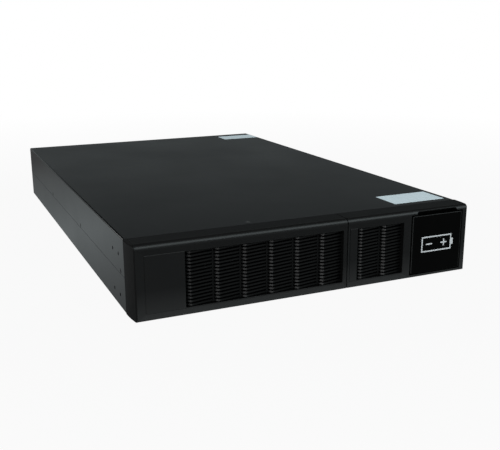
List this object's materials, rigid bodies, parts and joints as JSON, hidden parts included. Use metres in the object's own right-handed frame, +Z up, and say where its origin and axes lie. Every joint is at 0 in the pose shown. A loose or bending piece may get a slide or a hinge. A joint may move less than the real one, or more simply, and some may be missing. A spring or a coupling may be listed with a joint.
{
  "type": "ups battery module",
  "caption": "Flat two-unit rack battery module: folded steel case, louvred push-fit front, pull-out square badge, sealed batteries in trays, rear connectors and breaker.",
  "frame": {"origin": "centre of the underside of the whole module, on the surface it rests on", "axes": "+X to the right seen from the front, +Y from the front to the back, +Z up"},
  "size_m": [0.438, 0.7126, 0.0864],
  "materials": {
    "moulding": "fine-grained black moulding",
    "badge_gloss": "polished black",
    "case_paint": "satin charcoal powder coat",
    "plated_steel": "zinc plated",
    "black_screw": "blackened steel",
    "battery_case": "moulded battery case",
    "copper": "bare copper",
    "red_insulation": "red cable insulation",
    "black_insulation": "black cable insulation",
    "foam": "closed-cell foam",
    "insulator": "moulded insulator",
    "toggle_gloss": "smooth black",
    "port_shell": "grey moulded housing",
    "label_paper": "bare pale sticker on the top",
    "mark_paint": "white filled marks beside the toggle"
  },
  "bodies": {
    "case": {"base_tray": "case_paint", "battery_door": "case_paint", "battery_left_1": "battery_case", "battery_left_2": "battery_case", "battery_left_3": "battery_case", "battery_left_4": "battery_case", "battery_left_5": "battery_case", "battery_left_6": "battery_case", "battery_right_1": "battery_case", "battery_right_2": "battery_case", "battery_right_3": "battery_case", "battery_right_4": "battery_case", "battery_right_5": "battery_case", "battery_right_6": "battery_case", "battery_tray_left": "plated_steel", "battery_tray_right": "plated_steel", "breaker_body": "insulator", "breaker_posts": "copper", "bus_standoffs": "insulator", "door_screws": "black_screw", "foam_strip_front": "foam", "foam_strip_rear": "foam", "front_plate": "case_paint", "fuse_block_left": "insulator", "fuse_block_right": "insulator", "fuse_link_left": "copper", "fuse_link_right": "copper", "ground_screw": "plated_steel", "ground_washer": "plated_steel", "hold_down_bar_front": "plated_steel", "hold_down_bar_rear": "plated_steel", "negative_bus": "copper", "negative_lead_left": "black_insulation", "negative_lead_right": "black_insulation", "output_bus": "copper", "port_contacts": "copper", "port_housing_1": "port_shell", "port_housing_2": "port_shell", "port_screws": "plated_steel", "positive_bus": "copper", "positive_lead_left": "red_insulation", "positive_lead_right": "red_insulation", "rear_panel": "case_paint", "series_straps_left": "copper", "series_straps_right": "copper", "side_bezel": "moulding", "side_screws": "black_screw", "toggle_pin": "plated_steel", "top_cover": "case_paint", "top_screw": "plated_steel", "tray_screws": "plated_steel"},
    "front_cover": {"front_cover": "moulding"},
    "badge": {"badge_panel": "badge_gloss"},
    "breaker_toggle": {"breaker_toggle": "toggle_gloss"}
  },
  "joints": [
    {"name": "front_cover_pull", "type": "slide", "parent": "case", "child": "front_cover", "axis": [0, -1, 0], "range_m": [0, 0.06]},
    {"name": "badge_pull", "type": "slide", "parent": "case", "child": "badge", "axis": [0, -1, 0], "range_m": [0, 0.03]},
    {"name": "breaker_throw", "type": "hinge", "parent": "case", "child": "breaker_toggle", "pos_m": [0.15, 0.3403, 0.043], "axis": [1, 0, 0], "range_deg": [-44, 0]}
  ]
}
